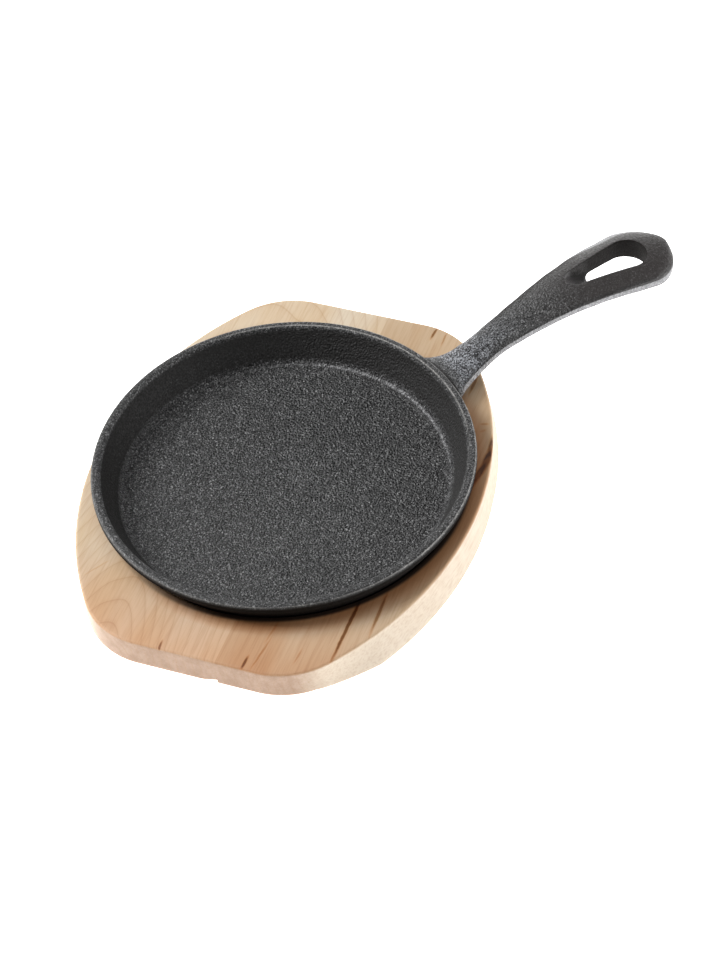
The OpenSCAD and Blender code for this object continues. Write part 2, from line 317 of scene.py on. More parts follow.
def teardrop(grow, shorter, end_cells, side_cells):
    """Outline of the hanging hole, grown by a margin: an arc round each end and their tangents.

    It starts at the far end and goes round anticlockwise seen from above. The narrow end can be
    moved towards the wide one, between the same two tangents.
    """
    lean = math.asin((HOLE_WIDE_R - HOLE_NARROW_R) / HOLE_L)
    big, small = HOLE_WIDE_R + grow, HOLE_NARROW_R + shorter * math.sin(lean) + grow
    corner, meet = math.radians(45), math.pi / 2 + lean
    line = (HOLE_L - shorter) * math.cos(lean)
    arc_cells = side_cells // 5
    first = np.linspace(0, corner, end_cells + 1)[:-1]
    on_arc = np.linspace(corner, meet, arc_cells + 1)[:-1]
    along = np.linspace(0, line, side_cells - arc_cells + 1)[:-1]
    last = np.linspace(meet, np.pi, end_cells + 1)
    round_end = np.concatenate([first, on_arc])
    xs = np.concatenate([HOLE_WIDE_S + big * np.cos(round_end),
                         HOLE_WIDE_S + big * math.cos(meet) - along * math.cos(lean),
                         HOLE_NARROW_S + shorter + small * np.cos(last)])
    ys = np.concatenate([big * np.sin(round_end), big * math.sin(meet) - along * math.sin(lean),
                         small * np.sin(last)])
    return np.concatenate([xs, xs[-2:0:-1]]), np.concatenate([ys, -ys[-2:0:-1]])


def bend(p, q, r, steps):
    """Rows of a curve from p to r that leaves and arrives along the lines to q."""
    t = np.linspace(0, 1, steps + 1)[:, None, None]
    return (1 - t) ** 2 * p + 2 * t * (1 - t) * q + t ** 2 * r


def make_pan():
    """The casting as one closed surface.

    The bowl is its outline turned round the axis. A window in its wall's outside is joined by a
    small fillet to the handle, a section carried along a path. Windows in the handle's top and
    underside are joined by the wall of the teardrop hole. Near each window the grid slides along
    the surface to meet the window's edge.
    """
    turn = 2 * np.pi * np.arange(PAN_COLUMNS) / PAN_COLUMNS - np.pi
    j0 = PAN_COLUMNS // 2 - WINDOW_COLUMNS // 2
    j1 = j0 + WINDOW_COLUMNS
    ring = 2 * (WINDOW_COLUMNS + WINDOW_ROWS)
    angle = even_angles(ring)

    # Where each line of the handle meets the bowl's outside, 60 to 90 mm off the axis
    lo, hi = np.full(ring, 60.0), np.full(ring, 90.0)
    for _ in range(SEARCH_ROUNDS):
        s = (lo + hi) / 2
        p = handle_point(s, angle)
        inside = np.hypot(p[:, 0], p[:, 1]) < outside(p[:, 2], BOWL_PATH[:, 0])
        lo, hi = np.where(inside, s, lo), np.where(inside, hi, s)
    meet = handle_point(s, angle)
    u, w = np.arctan2(meet[:, 1], meet[:, 0]) * RIM_R, outside(meet[:, 2], BOWL_MARKS)
    du, dw = (np.roll(v, -1) - np.roll(v, 1) for v in (u, w))
    size = np.hypot(du, dw)
    top = ease(np.sin(angle) / 0.7)
    reach = WALL_REACH + (WALL_REACH_TOP - WALL_REACH) * top
    edge_u, edge_w = u - dw / size * reach, w + du / size * reach

    # The window's rows are those nearest to its edge
    i0 = int(np.argmin(np.abs(BOWL_ROWS - edge_w.min())))
    i1 = i0 + WINDOW_ROWS
    pi, pj = frame_of_window((i0, i1), (j0, j1)).T
    grid_u = np.tile(turn * RIM_R, (len(BOWL_ROWS), 1))
    grid_w = np.tile(BOWL_ROWS[:, None], (1, PAN_COLUMNS))
    fixed = np.ones(grid_u.shape, bool)
    fixed[ROW_RIM_OUT + 1:ROW_BASE, j0 - WINDOW_MARGIN:j1 + WINDOW_MARGIN + 1] = False
    fixed[i0:i1 + 1, j0:j1 + 1] = True
    region = slice(ROW_RIM_OUT - 1, ROW_BASE + 2)
    for grid, edge in ((grid_u, edge_u), (grid_w, edge_w)):
        shift = np.zeros(grid.shape)
        shift[pi, pj] = edge - grid[pi, pj]
        shift[region] = harmonic(shift[region], fixed[region], BOWL_ROUNDS)
        grid += shift
    bowl = bowl_point(grid_u / RIM_R, grid_w)[1:-1]
    number = np.arange(bowl.shape[0] * PAN_COLUMNS).reshape(-1, PAN_COLUMNS)
    cells = quads(closed(number)).reshape(-1, PAN_COLUMNS, 4)
    keep = np.ones(cells.shape[:2], bool)
    keep[i0 - 1:i1 - 1, j0:j1] = False
    faces = [cells[keep]]
    points = [bowl.reshape(-1, 3), [[0, 0, FLOOR_T], [0, 0, 0]]]
    count = number.size + 2
    tris = [fan(number[0], count - 2), fan(number[-1], count - 1)[:, [1, 0, 2]]]

    # The handle's rows: the fillet from the wall, then even rows, then closer rows round the tip
    start = s + HANDLE_REACH + (HANDLE_REACH_TOP - HANDLE_REACH) * top
    fillet = bend(bowl_point(edge_u / RIM_R, edge_w), meet, handle_point(start, angle),
                  FILLET_CELLS)[1:-1]
    gather = np.linspace(0, 1, GATHER_CELLS + 1)[:-1, None]
    even = np.arange(EVEN_FROM, TIP_FROM, EVEN_STEP)
    quarter_turn = np.radians(np.linspace(0, 89.2, TIP_CELLS + 1))
    round_tip = TIP_FROM + (TIP_S - TIP_FROM) * np.sin(quarter_turn)
    along = np.concatenate([start * (1 - gather) + EVEN_FROM * gather,
                            np.tile(np.concatenate([even, round_tip])[:, None], (1, ring))])
    about = np.tile(angle, (len(along), 1))

    # The hole's windows in the top and in the underside, where the hole is shorter
    quarter = ring // 4
    low, high = quarter - HOLE_CELLS, quarter + HOLE_CELLS
    r0, r1 = (int(np.argmin(np.abs(along[:, 0] - at))) for at in (
        HOLE_NARROW_S - HOLE_NARROW_R - HOLE_EDGE, HOLE_WIDE_S + HOLE_WIDE_R + HOLE_EDGE))
    far = [(r1, quarter - k) for k in range(HOLE_CELLS)]
    left = [(r, low) for r in range(r1, r0, -1)]
    near = [(r0, low + k) for k in range(2 * HOLE_CELLS)]
    right = [(r, high) for r in range(r0, r1)]
    last = [(r1, high - k) for k in range(HOLE_CELLS)]
    row, column = np.array(far + left + near + right + last).T
    fixed = np.ones(along.shape, bool)
    fixed[r0 - HOLE_MARGIN_IN:r1 + HOLE_MARGIN_OUT] = False
    slide_s, slide_a = np.zeros(along.shape), np.zeros(along.shape)
    rims = []
    for side, shorter, angle_of in ((1, 0.0, angle_above), (-1, HOLE_RAMP, angle_below)):
        at = (side * column) % ring
        fixed[r0:r1 + 1, (side * np.arange(low, high + 1)) % ring] = True
        tx, ty = teardrop(HOLE_EDGE, shorter, HOLE_CELLS, r1 - r0)
        slide_s[row, at] = tx - along[row, at]
        slide_a[row, at] = angle_of(ty / half_width(tx)) - angle[at]
        wx, wy = teardrop(0, shorter, HOLE_CELLS, r1 - r0)
        rims.append(handle_point(wx, angle_of(wy / half_width(wx))))
    body = handle_point(along + harmonic(slide_s, fixed, HANDLE_ROUNDS),
                        about + harmonic(slide_a, fixed, HANDLE_ROUNDS))
    fillet_number = np.arange(fillet.shape[0] * ring).reshape(-1, ring) + count
    body_number = np.arange(body.shape[0] * ring).reshape(-1, ring) + count + fillet_number.size
    finger = closed(np.concatenate([number[pi - 1, pj][None], fillet_number, body_number]))
    cells = quads(finger)[:, [0, 3, 2, 1]].reshape(-1, ring, 4)
    keep = np.ones(cells.shape[:2], bool)
    lead = 1 + fillet_number.shape[0]
    for begin in (low, ring - high):
        keep[lead + r0:lead + r1, begin:begin + 2 * HOLE_CELLS] = False
    faces.append(cells[keep])
    count += fillet_number.size + body_number.size
    points += [fillet.reshape(-1, 3), body.reshape(-1, 3), [[TIP_S, 0, body[-1, :, 2].mean()]]]
    tris.append(fan(body_number[-1], count))
    count += 1

    # The hole: a rounded edge above, a straight wall and a rounded edge below
    upper, lower = rims
    below = (-column) % ring
    drop = np.array([0, 0, HOLE_EDGE])
    t = np.linspace(0, 1, HOLE_WALL_CELLS + 1)[1:-1, None, None]
    inner = np.concatenate([bend(body[row, column], upper, upper - drop, FILLET_CELLS)[1:],
                            (upper - drop) * (1 - t) + (lower + drop) * t,
                            bend(lower + drop, lower, body[row, below], FILLET_CELLS)[:-1]])
    inner_number = np.arange(inner.shape[0] * len(row)).reshape(-1, len(row)) + count
    sleeve = closed(np.concatenate([body_number[row, column][None], inner_number,
                                    body_number[row, below][None]]))
    faces.append(quads(sleeve)[:, [0, 3, 2, 1]])
    points.append(inner.reshape(-1, 3))
    points = np.concatenate([np.asarray(p, float) for p in points])
    points[:, 2] += SEAT_Z
    return add_surface("sand_cast_pan", points, np.concatenate(faces), np.concatenate(tris))


# -------------------- board
def board_outline(directions):
    """Distance from the centre to the board's edge: the nearest of the straight end, the corner arc
    and the bowed side, in one quarter that is mirrored to the other three."""
    half_l, half_w = BOARD_L / 2, BOARD_W / 2
    cx, sy = half_l - CORNER_R, half_w - SIDE_R
    cy = sy + math.sqrt((SIDE_R - CORNER_R) ** 2 - cx ** 2)
    c, s = np.abs(np.cos(directions)), np.abs(np.sin(directions))
    straight = half_l / np.maximum(c, 1e-9)
    b = cx * c + cy * s
    corner = b + np.sqrt(np.maximum(b * b - (cx * cx + cy * cy - CORNER_R ** 2), 0))
    b = sy * s
    bowed = b + np.sqrt(b * b - (sy * sy - SIDE_R ** 2))
    lean = math.atan2(cx, cy - sy)
    arc_end = math.atan2(cy + CORNER_R * math.cos(lean), cx + CORNER_R * math.sin(lean))
    way = np.arctan2(s, c)
    return np.where(way < math.atan2(cy, half_l), straight, np.where(way < arc_end, corner, bowed))


def make_board():
    """The blank as one closed surface, in rings from the seat's centre over the edge and below.

    Each ring lies at a share of the way from the centre or the seat's edge to the outline. On the
    sloping side the foot stands out from it, by an amount that is straight lines between five
    places along the board. The whole is turned with the board.
    """
    way = 2 * np.pi * np.arange(BOARD_COLUMNS) / BOARD_COLUMNS
    out = board_outline(way)
    x, y = out * np.cos(way), out * np.sin(way)
    foot = np.interp(x, FOOT_PLACES * BOARD_L / 2, FOOT_OUT)
    rise = y - (SIDE_R - BOARD_W / 2)
    square = (x * x + y * rise) / (out * np.hypot(x, rise))
    low = out + np.where(y < 0, foot / square, 0)
    rings = []

    def add(radius, z):
        r = radius + 0 * out
        rings.append(np.stack([r * np.cos(way + BOARD_TURN), r * np.sin(way + BOARD_TURN),
                               z + 0 * out], axis=-1))
    for r in np.linspace(6, SEAT_R - SEAT_FILLET, 12):
        add(r, SEAT_Z)
    for a in np.radians([30, 60, 90]):
        add(SEAT_R - SEAT_FILLET * (1 - math.sin(a)), SEAT_Z + SEAT_FILLET * (1 - math.cos(a)))
    for z in np.linspace(SEAT_Z + SEAT_FILLET, BOARD_T - SEAT_BEVEL, 6)[1:]:
        add(SEAT_R, z)
    for a in np.radians([30, 60, 90]):
        add(SEAT_R + SEAT_BEVEL * (1 - math.cos(a)), BOARD_T - SEAT_BEVEL * (1 - math.sin(a)))
    inner = SEAT_R + SEAT_BEVEL
    for t in np.linspace(0, 1, 9)[1:]:
        add(inner + (out - TOP_ROUND - inner) * t, BOARD_T)
    for a in np.radians(np.linspace(0, 90, 7)[1:]):
        add(out - TOP_ROUND * (1 - math.sin(a)), BOARD_T - TOP_ROUND * (1 - math.cos(a)))
    for t in np.linspace(0, 1, 9)[1:]:
        add(out + (low - out) * t, (BOARD_T - TOP_ROUND) * (1 - t) + BOTTOM_BEVEL * t)
    add(low - BOTTOM_BEVEL * 0.3, BOTTOM_BEVEL * 0.3)
    for t in (1, 0.999, 0.98, 0.96, 0.9, 0.8, 0.6, 0.4, 0.2, 0.06):
        add((low - BOTTOM_BEVEL) * t, 0)
    number = np.arange(len(rings) * BOARD_COLUMNS).reshape(-1, BOARD_COLUMNS)
    points = np.concatenate(rings + [[[0, 0, SEAT_Z], [0, 0, 0]]])
    tris = [fan(number[0], number.size), fan(number[-1], number.size + 1)[:, [1, 0, 2]]]
    return add_surface("board_blank", points, quads(closed(number)), np.concatenate(tris))


def stave(name, blank, side):
    """One side of the blank, cut at the upright plane of the glue joint and closed there.

    The wide stave is chipped at one end: what lies under the chip's sloping roof, highest at the
    joint, is lifted to it.
    """
    normal = Vector((-math.sin(BOARD_TURN), math.cos(BOARD_TURN), 0))
    work = bmesh.new()
    work.from_mesh(blank.data)
    everything = work.verts[:] + work.edges[:] + work.faces[:]
    cut = bmesh.ops.bisect_plane(work, geom=everything, dist=1e-8, plane_no=normal,
                                 plane_co=normal * -JOINT_OFFSET * MM,
                                 clear_inner=side > 0, clear_outer=side < 0)
    rim = [e for e in cut["geom_cut"] if isinstance(e, bmesh.types.BMEdge)]
    for f in bmesh.ops.holes_fill(work, edges=rim, sides=0)["faces"]:
        f.smooth = False
    bmesh.ops.recalc_face_normals(work, faces=work.faces[:])
    mesh = bpy.data.meshes.new(name)
    work.to_mesh(mesh)
    work.free()
    co = np.empty(len(mesh.vertices) * 3, np.float32)
    mesh.vertices.foreach_get("co", co)
    co = co.reshape(-1, 3) / MM
    across = co[:, :2] @ np.array(normal[:2]) + JOINT_OFFSET
    # The edges round the glued face are sharp, so that its turn doesn't bend the shading beside it
    ends = np.empty(len(mesh.edges) * 2, np.int32)
    mesh.edges.foreach_get("vertices", ends)
    on_joint = np.all(np.abs(across[ends.reshape(-1, 2)]) < 1e-3, axis=1)
    mesh.edges.foreach_set("use_edge_sharp", on_joint)
    if side > 0:
        depth = co[:, :2] @ np.array([normal[1], -normal[0]]) + BOARD_L / 2
        roof = np.interp(across, [0, 0.45 * CHIP_W, CHIP_W], [CHIP_H, 0.55 * CHIP_H, 0])
        lifted = np.maximum(co[:, 2], roof * (1 - ease(depth / CHIP_DEPTH)))
        co[:, 2] = np.where((co[:, 2] < CHIP_BELOW) & (depth < CHIP_DEPTH), lifted, co[:, 2])
        mesh.vertices.foreach_set("co", (co * MM).ravel())
        mesh.update()
    return add_object(name, mesh)


# -------------------- materials
# Settings of nodes, and the ends of a mask that falls from one to nothing
TIMES, PLUS, MINUS, TIMES_PLUS, LARGER, UNSIGNED, COSINE, FRACTION, LENGTH = (
    {"operation": name} for name in ("MULTIPLY", "ADD", "SUBTRACT", "MULTIPLY_ADD", "MAXIMUM",
                                     "ABSOLUTE", "COSINE", "FRACT", "LENGTH"))
LINEAR, SMOOTH = {"interpolation_type": "LINEAR"}, {"interpolation_type": "SMOOTHSTEP"}
MIX = {"blend_type": "MIX"}
FALLS = (1.0, 0.0)

# Sizes of the patterns, in metres
GRAIN, GRIT, SAND, RUN, PATCH, WAVE = 0.0008, 0.0010, 0.0005, 0.0007, 0.005, 0.012
RING, MOTTLE, WAVER = 0.0031, 0.0035, 0.00035


def linear(code):
    """Linear colour of an sRGB hex value."""
    parts = [int(code[i:i + 2], 16) / 255 for i in (1, 3, 5)]
    return (*(c / 12.92 if c <= 0.04045 else ((c + 0.055) / 1.055) ** 2.4 for c in parts), 1.0)


def node(tree, kind, settings=(), *values, **named):
    """Adds one node, sets its own settings, and sets or links its inputs.

    Values go to the inputs in their order, or to an input by its name. A node that is given as a
    value stands for its first output.
    """
    n = tree.nodes.new("ShaderNode" + kind)
    for key, value in dict(settings).items():
        setattr(n, key, value)
    for key, value in (*enumerate(values), *named.items()):
        socket = n.inputs[key.replace("_", " ") if key in named else key]
        if isinstance(value, bpy.types.Node):
            value = value.outputs[0]
        if isinstance(value, bpy.types.NodeSocket):
            tree.links.new(value, socket)
        else:
            socket.default_value = value
    return n


def new_material(name):
    material = bpy.data.materials.new(name)
    material.use_nodes = True
    material.node_tree.nodes.clear()
    return material, partial(node, material.node_tree)


def sand_cast_iron_black_coated():
    """Grey iron cast in sand, black oil baked on: a dark satin skin that keeps the sand's print.

    The print is round pebbles and pits about 1 mm across; the glints on their tips are painted
    bright in the colour, one by one. A bluish painted highlight lies on the root and the neck; the
    paddle is ground smooth and warmer;
    the rim's edges are worn and carry a painted highlight in bright broken lines. Painted shade
    darkens the inner wall away from the handle, the hanging hole, a ring round the rim's outside, a
    line on the handle's near side and the outside below the rim's band. A painted reflection of the
    table lies along the handle's sides, and a painted highlight lies on the floor's fillet.
    """
    material, add = new_material("sand_cast_iron_black_coated")
    place = add("TexCoord").outputs["Object"]
    x, y, z = add("SeparateXYZ", Vector=place).outputs
    radius = add("VectorMath", LENGTH, add("CombineXYZ", X=x, Y=y)).outputs["Value"]
    # The height is made of pebbles, each with a bright side and a dark side, of fine grit, and of
    # grains that are round tips, evenly spaced. Slow waves are the mould's unevenness.
    grains = add("TexVoronoi", Vector=place, Scale=1 / GRAIN)
    grit = add("TexNoise", Vector=place, Scale=1 / GRIT, Detail=3.0, Roughness=0.75)
    pebble = add("TexNoise", Vector=place, Scale=1 / GRAIN, Detail=0.7, Roughness=0.4)
    waves = add("TexNoise", Vector=place, Scale=1 / WAVE, Detail=2.0)
    height = add("Math", TIMES_PLUS, grit, 0.18, pebble)
    height = add("Math", TIMES_PLUS, grains, -0.22, height)
    # The grain is ground away along the handle, from 110 mm to 160 mm off the axis
    ground = add("MapRange", SMOOTH, x, 0.110, 0.160)

    # A painted highlight lies on top of the root and the neck, standing in for their sheen; on the
    # neck's near side it stops further in, so that side stays dark as in shade
    painted_sheen = add("MapRange", SMOOTH, radius, 0.0805, 0.0870)
    past_neck = add("MapRange", SMOOTH, x, 0.088, 0.128, *FALLS)
    shift = add("MapRange", SMOOTH, x, 0.088, 0.106, 0.007, 0.0)
    shift = add("Math", PLUS, y, shift)
    on_top = add("MapRange", LINEAR, shift, -0.0068, -0.0046, 0.1)
    for mask in (past_neck, on_top):
        painted_sheen = add("Math", TIMES, painted_sheen, mask)

    # Painted glints, bright in the colour: single grains, specks and faint wiggly runs; as fine as
    # the sand under the painted sheen
    runs = add("TexNoise", Vector=place, Scale=1 / RUN, Detail=1.0, Roughness=0.6)
    runs = add("MapRange", LINEAR, runs, 0.47, 0.70)
    cells = add("TexVoronoi", Vector=place, Scale=1 / SAND).outputs["Color"]
    sand = add("MapRange", LINEAR, cells, 0.48, 0.75)
    speck = add("MapRange", LINEAR, cells, 0.74, 0.92, 0.0, 0.60)
    glint_strength = add("MapRange", LINEAR, grains.outputs["Color"], 0.38, 0.90)
    tip = add("MapRange", SMOOTH, grains, 0.05, 0.45, *FALLS)
    for factor in (glint_strength, 0.60):
        tip = add("Math", TIMES, tip, factor)
    tip = add("Math", LARGER, tip, speck)
    ridge = add("Math", TIMES_PLUS, runs, 0.25, tip)
    fine = add("Math", TIMES, runs, 0.25)
    fine = add("Math", TIMES_PLUS, sand, 0.68, fine)
    ridge = add("MixRGB", MIX, painted_sheen, ridge, fine)

    # The coat is scraped on the cooking floor and handled on the handle, and glints are painted
    # there;
    # the walls keep it whole
    scraped_and_glinting = add("MapRange", LINEAR, z, 0.0100, 0.0125, 1.0, 0.15)
    within = add("MapRange", LINEAR, radius, 0.0730, 0.0745, 1.0, 0.15)
    scraped_and_glinting = add("Math", TIMES, scraped_and_glinting, within)
    beyond = add("MapRange", LINEAR, radius, 0.0800, 0.0815)
    scraped_and_glinting = add("Math", LARGER, scraped_and_glinting, beyond)
    # The wall is drawn smooth when the sand mould is made, all but its side by the handle
    drawn = add("MapRange", SMOOTH, x, 0.010, 0.060, 0.22, 0.65)
    drawn = add("Math", LARGER, scraped_and_glinting, drawn)
    depth = add("MapRange", LINEAR, ground, 0.0, 1.0, 1.0, 0.22)
    depth = add("Math", TIMES, depth, drawn)
    bump = add("Bump", Strength=depth, Distance=0.00125, Height=height)
    wavy = add("Bump", Strength=0.35, Distance=0.0004, Height=waves, Normal=bump)
    # The rim's top gets painted glints as well
    rim_top = add("MapRange", LINEAR, z, 0.0225, 0.0236, 0.0, 0.75)
    scraped_and_glinting = add("Math", LARGER, scraped_and_glinting, rim_top)

    # The coat's colour: darkest in the gaps between pebbles; painted shade darkens the wall away
    # from the handle;
    # bluish under the painted sheen and warm where it is ground
    gaps = add("MapRange", LINEAR, pebble, 0.40, 0.62)
    dark = add("MixRGB", MIX, gaps, linear("#030303"), linear("#151516"))
    lit = add("MapRange", LINEAR, x, -0.060, 0.0)
    wall = add("MixRGB", MIX, lit, linear("#070706"), linear("#1a1918"))
    dark = add("MixRGB", MIX, scraped_and_glinting, wall, dark)
    for mask, colour in ((painted_sheen, "#07080a"), (ground, "#292524")):
        dark = add("MixRGB", MIX, mask, dark, linear(colour))
    # The painted highlight's colour is a bluish light grey
    bright = add("MixRGB", MIX, painted_sheen, linear("#a6a6a7"), linear("#b4b7be"))
    # Painted glints: the bright colour shows on the ridges where the coat is scraped
    show = add("MapRange", LINEAR, ground, 0.0, 1.0, 1.0, 0.2)
    for mask in (ridge, scraped_and_glinting):
        show = add("Math", TIMES, show, mask)
    tone = add("MixRGB", MIX, show, dark, bright)

    # Painted shade in the hanging hole, within the outline of two circles and their tangents; less
    # at its narrow end
    narrow_x = HOLE_NARROW_S * MM
    share = add("MapRange", LINEAR, x, narrow_x, HOLE_WIDE_S * MM)
    nearest = add("Math", TIMES_PLUS, share, -HOLE_L * MM, x)
    nearest = add("Math", MINUS, nearest, narrow_x)
    reach = add("VectorMath", LENGTH, add("CombineXYZ", X=nearest, Y=y)).outputs["Value"]
    width = add("MapRange", LINEAR, share, 0.0, 1.0, HOLE_NARROW_R * MM, HOLE_WIDE_R * MM)
    reach = add("Math", MINUS, reach, width)
    hole = add("MapRange", LINEAR, reach, 0.0001, 0.0004, *FALLS)
    clear = add("MapRange", LINEAR, reach, 0.0002, 0.0010)
    painted_hole_shade = add("MapRange", LINEAR, share, 0.0, 0.45, 0.25, 0.88)
    # The sloping wall at its narrow end is left out of the painted shade and coloured a lighter
    # grey
    slope = add("MapRange", LINEAR, x, narrow_x + 0.0055, narrow_x + 0.0085, *FALLS)
    inner = add("MapRange", LINEAR, reach, -0.0012, -0.0004, *FALLS)
    nose = add("MapRange", LINEAR, x, narrow_x, narrow_x + 0.0015, *FALLS)
    inner = add("Math", LARGER, inner, nose)
    for mask in (hole, inner):
        slope = add("Math", TIMES, slope, mask)
    rest = add("MapRange", LINEAR, slope, 0.0, 1.0, *FALLS)
    for mask in (hole, rest):
        painted_hole_shade = add("Math", TIMES, painted_hole_shade, mask)

    # A painted reflection of the pale table lies on the handle's upright sides below its widest
    # line, which arches as one cosine; on the far side it starts above that line, by 0.3 mm at the
    # neck and 2.8 mm at the paddle
    arch = add("Math", TIMES_PLUS, x, math.pi / (ARCH_HALF * MM), -math.pi * ARCH_MID / ARCH_HALF)
    arch = add("Math", COSINE, arch)
    arch = add("Math", TIMES_PLUS, arch, ARCH_H / 2 * MM,
               (SEAT_Z + LINE_Z + NECK_RISE + ARCH_H / 2) * MM)
    neck = add("MapRange", SMOOTH, x, NECK_FROM * MM, (NECK_FROM + NECK_OVER) * MM,
               -NECK_RISE * MM, 0.0)
    arch = add("Math", PLUS, arch, neck)
    start = add("MapRange", LINEAR, y, -0.002, 0.002, -0.0001, 0.0006)
    wide = add("MapRange", LINEAR, x, 0.145, 0.175, 0.5, 4.6)
    start = add("Math", TIMES, start, wide)
    start = add("Math", PLUS, arch, start)
    below = add("Math", MINUS, start, z)
    painted_side_reflection = add("MapRange", LINEAR, below, 0.0, 0.0004)
    under = add("Math", MINUS, arch, z)
    under = add("MapRange", LINEAR, under, 0.0030, 0.0040, *FALLS)
    out = add("MapRange", LINEAR, radius, 0.0825, 0.0850)
    mixture = add("MapRange", LINEAR, sand, 0.0, 1.0, 0.50)
    for mask in (under, out, clear, mixture):
        painted_side_reflection = add("Math", TIMES, painted_side_reflection, mask)
    # Painted shade: a dark line just above the near side's widest line, where the side faces the
    # dark front of the room
    above = add("Math", MINUS, z, arch)
    painted_dark_line = add("MapRange", SMOOTH, above, 0.0002, 0.0016, 0.75, 0.0)
    near = add("MapRange", LINEAR, y, -0.005, -0.003, *FALLS)
    for mask in (near, out, clear):
        painted_dark_line = add("Math", TIMES, painted_dark_line, mask)
    # The far side of the grip's top is duller with oil
    far = add("MapRange", SMOOTH, above, 0.0004, 0.0042, 0.8, 0.0)
    beside = add("MapRange", LINEAR, y, 0.001, 0.005)
    grip = add("MapRange", SMOOTH, x, 0.152, 0.172, *FALLS)
    begins = add("MapRange", SMOOTH, x, 0.096, 0.118)
    for mask in (beside, grip, begins):
        far = add("Math", TIMES, far, mask)

    # Rings about the pan's axis: radius, where it is full and where it ends on both sides, strength
    rings = []
    for middle, full, ends, most in ((0.0683, 0.0001, 0.0009, 1.0), (0.0806, 0.0002, 0.0013, 0.85),
                                     (0.0772, 0.0, 0.0005, 1.0), (0.0796, 0.0, 0.0004, 1.0)):
        off = add("Math", MINUS, radius, middle)
        off = add("Math", UNSIGNED, off)
        rings.append(add("MapRange", SMOOTH, off, full, ends, most, 0.0))
    band, corner, inner_edge, outer_edge = rings
    # A painted highlight, broken into glints, lies on the fillet at the floor's edge on the
    # handle's side
    side = add("MapRange", SMOOTH, x, 0.012, 0.066)
    inside = add("MapRange", LINEAR, z, 0.0080, 0.0084)
    glint = add("MapRange", LINEAR, sand, 0.0, 1.0, 0.20)
    fades = add("MapRange", SMOOTH, y, -0.042, -0.008, 0.22)
    for mask in (side, inside, glint, fades):
        band = add("Math", TIMES, band, mask)
    # Two edges of the rim are worn and carry a painted highlight in bright broken runs: the inner
    # one by the handle, the outer one on the handle's side and weakly on the other
    by_handle = add("MapRange", SMOOTH, x, 0.0, 0.050, 0.0, 0.85)
    passes = add("MapRange", SMOOTH, y, -0.050, -0.012)
    for mask in (by_handle, passes):
        inner_edge = add("Math", TIMES, inner_edge, mask)
    weaker = add("MapRange", SMOOTH, x, -0.035, 0.010, 0.35, 0.75)
    outer_edge = add("Math", TIMES, outer_edge, weaker)
    worn_edge_highlight = add("Math", LARGER, inner_edge, outer_edge)
    high = add("MapRange", LINEAR, z, 0.0234, 0.0240)
    patch = add("TexNoise", Vector=place, Scale=1 / PATCH, Detail=2.0)
    broken = add("MapRange", LINEAR, patch, 0.26, 0.55, 0.2)
    crumbs = add("MapRange", LINEAR, sand, 0.0, 1.0, 0.55)
    for mask in (high, broken, crumbs):
        worn_edge_highlight = add("Math", TIMES, worn_edge_highlight, mask)
    # The marks' colours go over the coat; among them painted shade in a ring round the rim's
    # outside, where it meets the root
    for mask, colour in ((slope, "#4a4848"), (painted_dark_line, "#0c0b0b"), (painted_side_reflection, "#a2a2a5"),
                         (band, "#a6a6a8"), (corner, "#0b0a0a"), (worn_edge_highlight, "#b3b1ae")):
        tone = add("MixRGB", MIX, mask, tone, linear(colour))
    # Tips are smoother than pits, and the whole coat on the walls is duller than the scraped one
    rough = add("MapRange", LINEAR, height, 0.34, 0.70, 0.55, 0.3)
    dull = add("MapRange", LINEAR, scraped_and_glinting, 0.2, 0.9, 0.28, 0.0)
    rough = add("Math", PLUS, rough, dull)
    coat = add("BsdfPrincipled", Base_Color=tone, Roughness=rough, IOR=1.5, Normal=wavy)

    # Below the rim's band the pan is matt and dark, soot from the stove and painted shade where the
    # outside faces the board; the wall's outside is where the radius less 0.606 of the height is
    # more than 65 mm
    soot_and_painted_shade = add("Math", TIMES_PLUS, z, -0.606, radius)
    soot_and_painted_shade = add("MapRange", LINEAR, soot_and_painted_shade, 0.0645, 0.0655)
    base = add("MapRange", LINEAR, z, 0.0052, 0.0060, *FALLS)
    soot_and_painted_shade = add("Math", LARGER, soot_and_painted_shade, base)
    under_band = add("MapRange", SMOOTH, z, 0.0222, 0.0243, *FALLS)
    bowl = add("MapRange", LINEAR, radius, 0.0801, 0.0810, *FALLS)
    for mask in (under_band, bowl):
        soot_and_painted_shade = add("Math", TIMES, soot_and_painted_shade, mask)
    # Painted shade: the inner wall takes the dark matt coat, most on the side away from the handle
    painted_wall_shade = add("MapRange", LINEAR, lit, 0.0, 1.0, 0.4, 0.0)
    whole = add("MapRange", LINEAR, scraped_and_glinting, 0.15, 0.60, *FALLS)
    painted_wall_shade = add("Math", TIMES, painted_wall_shade, whole)
    for mask in (painted_hole_shade, painted_wall_shade, far):
        soot_and_painted_shade = add("Math", LARGER, soot_and_painted_shade, mask)
    # The dark matt coat serves the soot, the oil and the painted shade
    soot_and_shade_coat = add("BsdfPrincipled", Base_Color=linear("#100d0b"), Roughness=0.9,
               Specular_IOR_Level=0.12, Normal=wavy)
    shader = add("MixShader", (), soot_and_painted_shade, coat, soot_and_shade_coat)
    add("OutputMaterial", Surface=shader)
    return material


